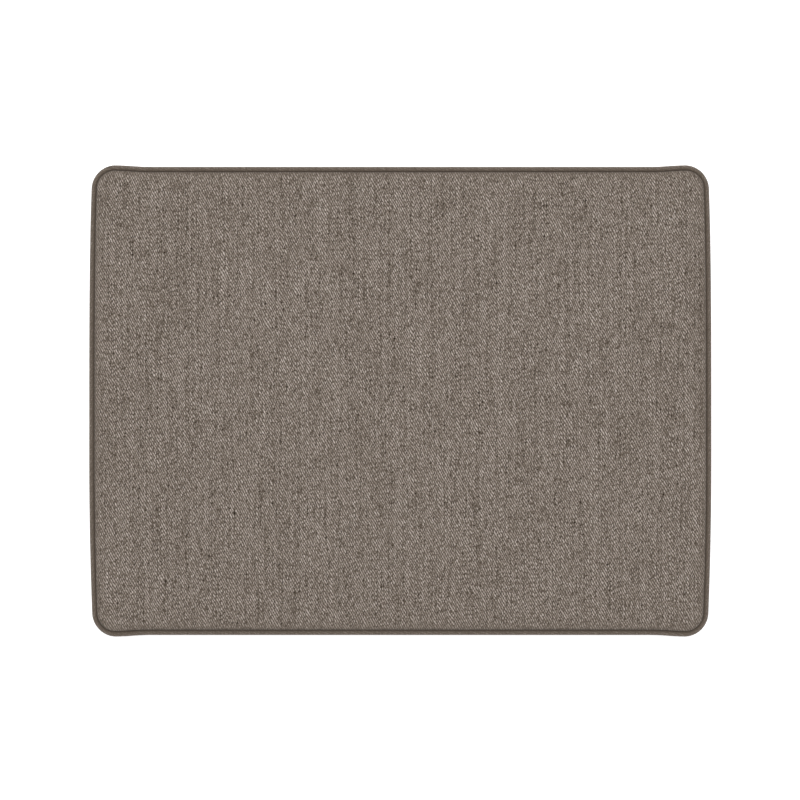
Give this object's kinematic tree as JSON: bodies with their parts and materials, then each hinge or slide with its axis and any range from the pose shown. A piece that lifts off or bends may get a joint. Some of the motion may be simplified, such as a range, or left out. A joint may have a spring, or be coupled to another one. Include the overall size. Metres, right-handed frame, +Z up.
{
  "type": "kneeling pad",
  "caption": "Rectangular boxed kneeling cushion with piped top and bottom seams, crowned faces, a foam core and a zip in the back of its boxing.",
  "frame": {"origin": "on the surface the pad lies on, under the middle of its outline", "axes": "+X along the pad's length, +Y towards the edge with the zip, +Z up out of the top panel"},
  "size_m": [0.404, 0.3064, 0.05],
  "materials": {
    "cover_cloth": "matte",
    "piping_cloth": "matte",
    "filler_cord": "matte",
    "zip_tape": "matte",
    "zip_coil": "satin",
    "zip_metal": "satin",
    "thread": "satin",
    "foam": "matte",
    "wadding": "matte",
    "calico": "matte"
  },
  "bodies": {
    "cover": {"top_panel": "cover_cloth", "bottom_panel": "cover_cloth", "boxing_strip": "cover_cloth", "zip_panel_upper": "cover_cloth", "zip_panel_lower": "cover_cloth", "top_piping_cover": "piping_cloth", "top_piping_cord": "filler_cord", "bottom_piping_cover": "piping_cloth", "bottom_piping_cord": "filler_cord", "zip_tape_upper": "zip_tape", "zip_tape_lower": "zip_tape", "zip_coil_upper": "zip_coil", "zip_coil_lower": "zip_coil", "zip_bottom_stop": "zip_metal", "zip_top_stops": "zip_metal", "zip_stitching_upper": "thread", "zip_stitching_lower": "thread", "foam_core": "foam", "wadding_top": "wadding", "wadding_bottom": "wadding", "inner_liner": "calico"},
    "slider": {"zip_slider": "zip_metal"},
    "pull": {"zip_pull": "zip_metal"}
  },
  "joints": [
    {"name": "zip_slide", "type": "slide", "parent": "cover", "child": "slider", "axis": [-1, 0, 0], "range_m": [0, 0.284]},
    {"name": "pull_hinge", "type": "hinge", "parent": "slider", "child": "pull", "pos_m": [0.14255, 0.152, 0.024], "axis": [0, 0, -1], "range_deg": [0, 180]}
  ]
}
